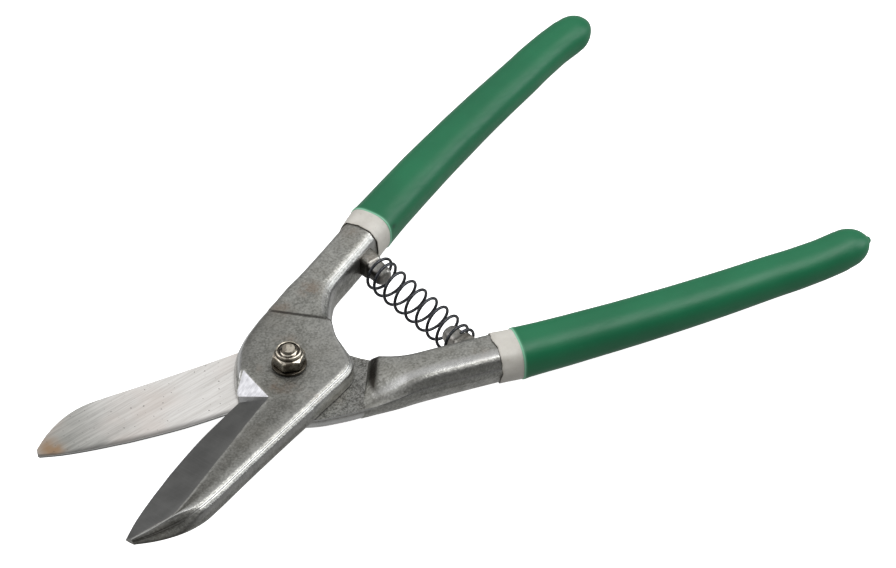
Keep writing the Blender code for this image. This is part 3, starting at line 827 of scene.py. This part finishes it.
# ---- band and grip
def build_band(side, mat):
    """Pale undercoat that follows the tang and rounds out under the sleeve."""
    seed = 11.0 if side == "front" else 47.0
    ragged = []
    for turn in turns(POLAR):
        where = Vector((math.cos(turn) * 2.2 + seed, math.sin(turn) * 2.2, 0.5))
        torn = Vector((math.cos(turn) * 9.0 + seed, math.sin(turn) * 9.0, 3.5))
        ragged.append(0.55 * noise.noise(where) + 0.22 * noise.noise(torn))
    oval = [oval_radius(turn, BAND_A, BAND_B, 2.6) for turn in turns(POLAR)]

    def radii(x, skin):
        t = ease(x, BAND_X - 1.5, GRIP_X - 0.5)
        return [lerp(r + skin, o, t) for r, o in zip(TANG_RADII, oval)]

    end = GRIP_X - 0.05
    stations = [(BAND_X + 0.06, 0.30, 1.0), (BAND_X, 0.42, 1.0), (BAND_X + 0.10, 0.55, 1.0),
                (BAND_X + 0.5, 0.60, 0.9)]
    stations += [(lerp(BAND_X + 1.2, end, i / 7), 0.62, max(0.0, 0.7 - i / 6)) for i in range(8)]
    rings = []
    for x, skin, slide in stations:
        rings.append(polar_ring(x, radii(x, skin), 0.0, [slide * r for r in ragged]))
    for x, under, slide in ((end, 0.55, 0.0), (BAND_X + 2.0, 0.45, 0.0), (BAND_X + 0.5, 0.52, 0.9)):
        inner = [max(r - under, t + 0.06) for r, t in zip(radii(x, 0.62), TANG_RADII)]
        rings.append(polar_ring(x, inner, 0.0, [slide * r for r in ragged]))
    # the ragged mouth rings get painted shade, the next ring a little
    by_ring = [0.45, 0.45, 0.15] + [0.0] * (len(rings) - 3)
    obj = make_mesh(side + "_undercoat", joined(rings), grid_faces(len(rings), POLAR, True),
                    [mat], side, None, {"shade_and_dirt": spread(by_ring, POLAR)}, angle=40)
    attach(obj, side)
    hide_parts(side + "_band")


def build_grip(side, mat):
    """The dipped sleeve: rolled lip, long slightly wavy body, bulb at the end."""
    seed = 3.0 if side == "front" else 29.0
    rings, lips = [], []

    def add_ring(x, a, b, power, shift=0.0, swell=0.0, lip=0.0):
        radii = []
        for turn in turns(POLAR):
            spot = Vector((x / 17.0 + seed, math.cos(turn) * 0.9, math.sin(turn) * 0.9))
            fine = Vector((x / 6.0 - seed, math.cos(turn) * 2.0, math.sin(turn) * 2.0))
            wave = 0.10 * noise.noise(spot) + 0.03 * noise.noise(fine) - 0.02
            radii.append(oval_radius(turn, a, b, power) + wave * swell)
        rings.append(polar_ring(x, radii, shift))
        lips.append(lip)

    end_a, end_b = (v - SLEEVE - 2.2 for v in sleeve_size(CORE_END_X))
    add_ring(CORE_END_X + 0.6, end_a, end_b, 2.5)
    for x in (CORE_END_X - 3.6, 145, 115, 90, GRIP_X + 2, GRIP_X + 0.15):
        a, b = sleeve_size(x)
        add_ring(x, a - SLEEVE, b - SLEEVE, 2.5)
    # the lip: a rounded bead where the green ends on the pale undercoat, painted lighter green as a
    # highlight
    for x, grow, lip in ((GRIP_X - 0.10, -0.45, 1.0), (GRIP_X - 0.22, -0.22, 1.0),
                         (GRIP_X - 0.22, -0.08, 1.0), (GRIP_X - 0.08, 0.01, 1.0),
                         (GRIP_X + 0.20, 0.05, 0.8), (GRIP_X + 0.45, 0.05, 0.2),
                         (GRIP_X + 1.0, 0.03, 0.0)):
        a, b = sleeve_size(GRIP_X)
        add_ring(x, a + grow, b + grow, 2.7, lip=lip)
    x = GRIP_X + 2.2
    while x < END_X - 1.0:
        a, b = sleeve_size(x)
        settle = 1.0 - ease(x, GRIP_X, GRIP_X + 9)
        add_ring(x, a, b, lerp(2.5, 2.65, settle), sleeve_shift(x), 1.0 - ease(x, 150, 176))
        x += 2.2
    last = 64 if side == "rear" else 87
    for degrees in (0, 7, 14, 21, 28, 35, 42, 48, 54, 59, 64, 69, 74, 79, 83, 87):
        if degrees > last:
            break
        turn = math.radians(degrees)
        add_ring(END_X + END_REACH * math.sin(turn), THIN_A * math.cos(turn),
                 THIN_B * math.cos(turn), 2.3, sleeve_shift(END_X + degrees))
    if side == "rear":
        # the last drop of the dip has set on the tip
        for beyond, radius in ((-0.62, 2.55), (-0.38, 2.0), (-0.15, 1.66), (0.1, 1.46),
                               (0.35, 1.37), (0.58, 1.26), (0.78, 1.10), (0.95, 0.88),
                               (1.07, 0.60), (1.13, 0.3)):
            add_ring(END_X + END_REACH + beyond, radius, radius, 2.0, END_SHIFT)
    points = joined(rings)
    shade_and_dirt = [max(1 - ease(math.dist(p, place), 0.2 * size, size)
                 for place, size in SCUFFS[side]) for p in points]
    wear_and_highlight = spread(lips, POLAR)
    obj = make_mesh(side + "_sleeve", points, grid_faces(len(rings), POLAR),
                    [mat], side, None, {"shade_and_dirt": shade_and_dirt, "wear_and_highlight": wear_and_highlight}, angle=50)
    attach(obj, side)
    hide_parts(side + "_grip")


# ---- spring and lugs
def build_stud(side, mats):
    """A square lug on the tang's inner wall, stepping down to a round peg."""
    profile = ((29.2, 3.9, 4.0, 5.0), (27.6, 3.8, 3.9, 5.0), (26.6, 3.75, 3.85, 5.0),
               (24.6, 3.7, 3.8, 5.0), (24.25, 3.6, 3.7, 4.6), (24.0, 3.4, 3.5, 3.6),
               (23.8, 3.3, 3.4, 3.2), (21.0, 3.2, 3.3, 3.0), (18.6, 3.1, 3.2, 2.8),
               (17.6, 2.8, 2.9, 2.4), (17.15, 2.2, 2.3, 2.2), (17.0, 1.3, 1.3, 2.0))
    count = 48
    rings, wear_and_highlight, shade_and_dirt = [], [], []
    for y, half_x, half_z, power in profile:
        ring = []
        for turn in turns(count):
            r = oval_radius(turn, half_x, half_z, power)
            dx = r * math.cos(turn)
            lift = STUD_RAKE * dx * ease(y, 25.0, 27.6)
            ring.append((SPRING_X + dx, y + lift, r * math.sin(turn)))
            # the peg painted a little lighter as a highlight; painted shade on the front lug's side
            # towards -X and on both lugs by the wall
            wear_and_highlight.append(0.2 if y < 24.5 else 0.0)
            under = 0.97 * ease(-dx, 1.6, 3.0) if side == "front" else 0.0
            shade_and_dirt.append(max(under, 0.4 * ease(y, 26.8, 28.2)))
        rings.append(ring)
    obj = make_mesh(side + "_spring_lug", joined(rings), grid_faces(len(rings), count), mats,
                    side, None,
                    {"wear_and_highlight": wear_and_highlight, "shade_and_dirt": shade_and_dirt, "stain": [0.35] * len(shade_and_dirt)}, angle=35)
    weigh_normals(obj)
    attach(obj, side)
    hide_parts(side + "_spring_stud")


def build_spring(mat):
    """Open-wound wire that closes up at each end."""
    per_turn, sides = 44, 16
    total = int(per_turn * (TURN_TO - TURN_FROM))
    path = []
    for i in range(total + 1):
        turn = TURN_FROM + (TURN_TO - TURN_FROM) * i / total
        opened = min(max(turn, OPEN_FROM), OPEN_TO)
        y = COIL_PITCH * opened + CLOSED_PITCH * (turn - opened)
        centre = SPRING_X + COIL_LEAN * y * (1 - ease(abs(y), 12, 21))
        angle = COIL_PHASE - 2 * math.pi * turn
        path.append(np.array((centre + COIL_R * math.cos(angle), y, COIL_R * math.sin(angle))))
    points, run, lengths = [], 0.0, []
    for i, p in enumerate(path):
        ahead, behind = path[min(i + 1, total)], path[max(i - 1, 0)]
        tangent = (ahead - behind) / np.linalg.norm(ahead - behind)
        outward = p - np.array((SPRING_X, p[1], 0.0))
        outward -= tangent * (outward @ tangent)
        outward /= np.linalg.norm(outward)
        side = np.cross(tangent, outward)
        if i:
            run += np.linalg.norm(p - path[i - 1])
        lengths.append(run)
        trim = 0.82 if i in (0, total) else 1.0
        for turn in turns(sides):
            points.append(p + WIRE_R * trim * (math.cos(turn) * outward + math.sin(turn) * side))
    obj = make_mesh("wire_spring", points, grid_faces(total + 1, sides), [mat], angle=60)
    uv = obj.data.uv_layers.new(name="wire")
    place = [(lengths[i // sides] * 0.1, (i % sides) / sides) for i in range(len(points))]
    for loop in obj.data.loops:
        uv.data[loop.index].uv = place[loop.vertex_index]
    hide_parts("return_spring")
    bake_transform(obj)


# ---- fasteners
def revolve(name, profile, mats, count=96, shade_and_dirt=None, shape=None, closed=True, angle=28):
    """Rings of (radius, z) about the pivot axis; shape may limit the radius by the turn."""
    points = []
    for radius, z in profile:
        for turn in turns(count):
            r = shape(turn, radius) if shape else radius
            points.append((r * math.cos(turn + NUT_TURN), r * math.sin(turn + NUT_TURN), z))
    masks = {"shade_and_dirt": spread(shade_and_dirt, count)} if shade_and_dirt else None
    return make_mesh(name, points, grid_faces(len(profile), count, closed), mats,
                     masks=masks, angle=angle)


def hexagon(turn, radius):
    """Radius of the nut's hexagon, cut back to the ring's own radius."""
    wedge = ((turn + math.pi / 6) % (math.pi / 3)) - math.pi / 6
    return min(radius, NUT_FLATS / 2 / math.cos(wedge))


def build_nut(mat):
    """Chamfered hexagon with a rounded collar, hollow where the bolt passes."""
    foot = NUT_SEAT
    # Each point's last value darkens the plate: painted shade under the nut, at the collar's foot
    # and down the bore; the hexagon's faces darker.
    outside = [(BOLT_HOLE_R, foot, 0.4), (BOLT_HOLE_R + 1.4, foot, 0.6), (4.75, foot + 0.05, 0.6)]
    outside += [(lerp(4.82, NUT_CORNER, t), foot + 0.05 + 0.50 * t, 0.5 - 0.3 * t)
                for t in np.linspace(0, 1, 6)]
    outside += [(NUT_CORNER, lerp(foot + 0.6, COLLAR_FOOT - 0.75, t), shade_and_dirt_level)
                for t, shade_and_dirt_level in ((0, 0.8), (0.25, 0.72), (0.5, 0.68), (0.75, 0.62), (0.9, 0.5))]
    outside += [(NUT_CORNER - 0.98 * t, COLLAR_FOOT - 0.68 + 0.55 * t, 0.0)
                for t in np.linspace(0, 1, 8)]
    outside += [(COLLAR_R + 0.22, COLLAR_FOOT - 0.11, 0.5), (COLLAR_R + 0.05, COLLAR_FOOT, 0.9),
                (COLLAR_R - 0.04, COLLAR_FOOT + 0.15, 0.85),
                (COLLAR_R - 0.06, COLLAR_FOOT + 0.6, 0.35)]
    for turn in np.radians((10, 25, 40, 55, 70, 85)):
        outside.append((COLLAR_R - 0.56 + 0.5 * math.cos(turn),
                        COLLAR_TOP - 0.5 + 0.5 * math.sin(turn), 0.0))
    outside += [(3.93, COLLAR_TOP - 0.02, 0.1), (3.78, COLLAR_TOP - 0.12, 0.5),
                (3.74, COLLAR_TOP - 0.35, 0.9), (3.72, COLLAR_FOOT + 0.2, 0.8),
                (BOLT_HOLE_R + 0.05, COLLAR_FOOT, 0.9), (BOLT_HOLE_R, COLLAR_FOOT - 0.2, 0.9)]
    nut = revolve("hex_lock_nut", [(r, z) for r, z, _ in outside], [mat],
                  shade_and_dirt=[g for _, _, g in outside], shape=hexagon, angle=24)
    weigh_normals(nut)
    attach(nut, "rear")
    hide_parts("lock_nut")


def build_locking_ring(mat):
    profile = [(3.08, COLLAR_TOP - 0.75), (3.14, COLLAR_TOP - 0.62), (3.3, COLLAR_TOP - 0.54),
               (3.55, COLLAR_TOP - 0.52), (3.64, COLLAR_TOP - 0.6), (3.66, COLLAR_TOP - 0.9),
               (3.6, COLLAR_FOOT + 0.35), (3.15, COLLAR_FOOT + 0.35)]
    ring = revolve("locking_ring", profile, [mat])
    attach(ring, "rear")
    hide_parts("nylon_insert")


def thread_radius(turns, z):
    """The thread's radius at a part of a turn and a height, fading in from the shank."""
    wave = abs(2 * ((z / THREAD_PITCH - turns) % 1.0) - 1)
    cut = lerp(THREAD_ROOT, THREAD_CREST, ease(wave, 0.12, 0.95))
    radius = lerp(THREAD_CREST, cut, ease(z, THREAD_FROM, THREAD_FROM + 0.6))
    chamfer = 0.80 * max(0.0, (z - (BOLT_END - 0.85)) / 0.85) ** 1.3
    return min(radius, THREAD_CREST - chamfer)


def build_bolt(mat):
    """Chamfered hexagon head, plain shank and a real helical thread."""
    count, steps = 72, 72
    head_low, head_top = -NUT_SEAT - HEAD_HEIGHT, -NUT_SEAT
    points, shade_and_dirt = [], []

    def add_point(turn, radius, z, shade_and_dirt_level):
        points.append((radius * math.cos(turn + NUT_TURN), radius * math.sin(turn + NUT_TURN), z))
        shade_and_dirt.append(shade_and_dirt_level)

    def add_ring(radius, z, shade_and_dirt_level, shape=None):
        for turn in turns(count):
            add_point(turn, shape(turn, radius) if shape else radius, z, shade_and_dirt_level)

    # The darkening given with each ring is painted shade: under the head, under the washer, along
    # the shank, in the thread's grooves and on the chamfer at the end.
    for radius, rise, shade_and_dirt_level in ((2.2, 0.18, 0.2), (3.9, 0.12, 0.2), (4.2, 0, 0.1), (4.75, 0, 0.05)):
        add_ring(radius, head_low + rise, shade_and_dirt_level)
    for t in np.linspace(0, 1, 7):
        add_ring(lerp(4.80, NUT_CORNER, t), head_low + 0.04 + 0.52 * t, 0.1, hexagon)
    for t in (0.25, 0.5, 0.75, 1.0):
        add_ring(NUT_CORNER, lerp(head_low + 0.6, head_top - 0.16, t), 0.15, hexagon)
    add_ring(NUT_CORNER - 0.12, head_top - 0.02, 0.3, hexagon)
    add_ring(4.9, head_top, 0.4)
    add_ring(THREAD_CREST, head_top, 0.5)
    for z in (head_top + 0.3, -4.0, 0.0, 4.0, THREAD_FROM):
        add_ring(THREAD_CREST, z, 0.4)
    for i in range(1, steps + 1):
        z = lerp(THREAD_FROM, BOLT_END, i / steps)
        for turn in turns(count):
            radius = thread_radius(turn / (2 * math.pi), z)
            in_groove = 0.65 * (1 - ease(radius, THREAD_ROOT, THREAD_CREST - 0.05))
            on_chamfer = 0.85 * ease(z, BOLT_END - 1.0, BOLT_END - 0.7)
            add_point(turn, radius, z, max(in_groove, on_chamfer))
    for radius, sink in ((2.12, 0.01), (2.0, 0.0), (1.6, 0.0), (1.0, 0.05), (0.4, 0.09)):
        add_ring(radius, BOLT_END - sink, 0.0)
    bolt = make_mesh("hex_bolt", points, grid_faces(len(points) // count, count), [mat],
                     masks={"shade_and_dirt": shade_and_dirt}, angle=35)
    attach(bolt, "rear")
    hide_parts("pivot_bolt")


def build_washer(name, node, low, mat):
    high = low + WASHER_T
    profile = [(BOLT_HOLE_R, low + 0.1), (BOLT_HOLE_R, high - 0.1), (BOLT_HOLE_R + 0.1, high),
               (WASHER_R - 0.22, high), (WASHER_R - 0.07, high - 0.06), (WASHER_R, high - 0.22),
               (WASHER_R, low + 0.22), (WASHER_R - 0.07, low + 0.06), (WASHER_R - 0.22, low),
               (BOLT_HOLE_R + 0.1, low)]
    # painted shade over the whole washer, darkest at the bore and the outer edge
    shade_and_dirt = [0.95, 0.95, 0.93, 0.93, 0.75, 0.95, 0.97, 0.9, 0.7, 0.8]
    washer = revolve(name, profile, [mat], shade_and_dirt=shade_and_dirt)
    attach(washer, "rear")
    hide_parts(node)


# ---- stage and light
def build_stage():
    """A pale floor, bright for the camera only, as in a cut-out studio picture."""
    s = Shader("pale_floor")
    cloud = s.noise(6, 3.0, 0.5)
    fine = s.noise(900, 2.0, 0.5)
    s.set(Base_Color=s.mix(cloud, (0.90, 0.90, 0.90), (0.93, 0.93, 0.93)),
          Roughness=s.ramp(fine, 0.3, 0.7, 0.75, 0.85), Normal=s.bump(fine, 0.05, 0.0002),
          Emission_Color=s.mix(cloud, (0.98, 0.98, 0.98), (1.0, 1.0, 1.0)),
          Emission_Strength=0.95)
    side = 25
    places = np.linspace(-6.0, 6.0, side)
    points = [(x, y, -0.0006) for y in places for x in places]
    faces = [(j * side + i, j * side + i + 1, (j + 1) * side + i + 1, (j + 1) * side + i)
             for j in range(side - 1) for i in range(side - 1)]
    mesh = bpy.data.meshes.new("pale_floor")
    mesh.from_pydata(points, [], faces)
    mesh.materials.append(s.mat)
    floor = bpy.data.objects.new("pale_floor", mesh)
    bpy.context.scene.collection.objects.link(floor)
    floor.visible_diffuse = False
    floor.visible_glossy = False


def area_light(name, direction, distance, size, size_y, power, target, colour=(1, 1, 1)):
    """A rectangular light that looks at the target from a direction, in metres."""
    data = bpy.data.lights.new(name, "AREA")
    data.shape = "RECTANGLE"
    data.size, data.size_y = size, size_y
    data.energy = power
    data.color = colour
    light = bpy.data.objects.new(name, data)
    back = Vector(direction).normalized()
    light.location = target + back * distance
    light.rotation_mode = "QUATERNION"
    light.rotation_quaternion = back.to_track_quat("Z", "Y")
    bpy.context.scene.collection.objects.link(light)


def build_light(target):
    """One softbox overhead and one at each side."""
    area_light("overhead_softbox", (0.40, -0.30, 0.87), 1.6, 1.3, 1.0, 13.2, target)
    area_light("left_softbox", (-0.60, 0.58, 0.56), 1.5, 1.0, 1.0, 5.2, target, (0.96, 0.96, 1.0))
    area_light("right_softbox", (0.85, -0.46, 0.31), 1.5, 0.9, 0.9, 7.4, target, (0.93, 0.96, 1.0))


def build_room():
    """A world whose brightness follows ROOM, and is darker towards -Y."""
    world = bpy.data.worlds.new("soft_room")
    bpy.context.scene.world = world
    world.use_nodes = True
    nodes, links = world.node_tree.nodes, world.node_tree.links
    nodes.clear()
    place, split, height, ramp, side, sky, out = (nodes.new("ShaderNode" + kind) for kind in (
        "TexCoord", "SeparateXYZ", "MapRange", "ValToRGB", "Math", "Background", "OutputWorld"))
    height.inputs[1].default_value = -1.0
    side.operation = "MULTIPLY_ADD"
    side.inputs[1].default_value, side.inputs[2].default_value = 0.4, 1.0
    elements = ramp.color_ramp.elements
    for at, _ in ROOM[1:-1]:
        elements.new(at)
    for element, (at, level) in zip(elements, ROOM):
        element.position, element.color = at, (level, level, level, 1)
    for source, target in ((place.outputs["Generated"], split.inputs[0]),
                           (split.outputs[2], height.inputs[0]),
                           (split.outputs[1], side.inputs[0]),
                           (height.outputs[0], ramp.inputs[0]),
                           (ramp.outputs[0], sky.inputs[0]),
                           (side.outputs[0], sky.inputs[1]),
                           (sky.outputs[0], out.inputs[0])):
        links.new(source, target)


def build_camera():
    """The camera looks down at the snips; returns the point it looks at."""
    target = Vector((*CAMERA_TARGET, PIVOT_Z)) * MM
    level = math.cos(CAMERA_ELEVATION)
    back = Vector((math.cos(CAMERA_AZIMUTH) * level, math.sin(CAMERA_AZIMUTH) * level,
                   math.sin(CAMERA_ELEVATION)))
    data = bpy.data.cameras.new("photo_camera")
    data.sensor_width = 36.0
    data.lens = CAMERA_LENS
    camera = bpy.data.objects.new("photo_camera", data)
    camera.location = target + back * CAMERA_DISTANCE * MM
    camera.rotation_mode = "QUATERNION"
    camera.rotation_quaternion = back.to_track_quat("Z", "Y")
    bpy.context.scene.collection.objects.link(camera)
    bpy.context.scene.camera = camera
    return target


# ---- build
target = build_camera()
build_light(target)
build_room()
build_stage()

STEELS = [forged_steel(), ground_face(), bevel_facet(), milled_shoulder(), machined_lug()]
GREEN, PALE, PLATED, WIRE, NYLON = (grip_plastic(), band_plastic(), plated_steel(),
                                    spring_wire(), nylon())

hole = revolve("bolt_hole_cutter", [(BOLT_HOLE_R, -20.0), (BOLT_HOLE_R, 20.0)], [STEELS[LUG]],
               64, closed=False)
hole.hide_render = True
hole.hide_viewport = True
for side in ("front", "rear"):
    build_forging(side, STEELS, hole)
    build_band(side, PALE)
    build_grip(side, GREEN)
    build_stud(side, STEELS[:1])
build_spring(WIRE)
build_nut(PLATED)
build_locking_ring(NYLON)
build_bolt(PLATED)
build_washer("upper_washer", "nut_washer", BOSS + CLEAR, PLATED)
build_washer("lower_washer", "head_washer", -BOSS - CLEAR - WASHER_T, PLATED)

bpy.context.scene.view_settings.view_transform = "Standard"
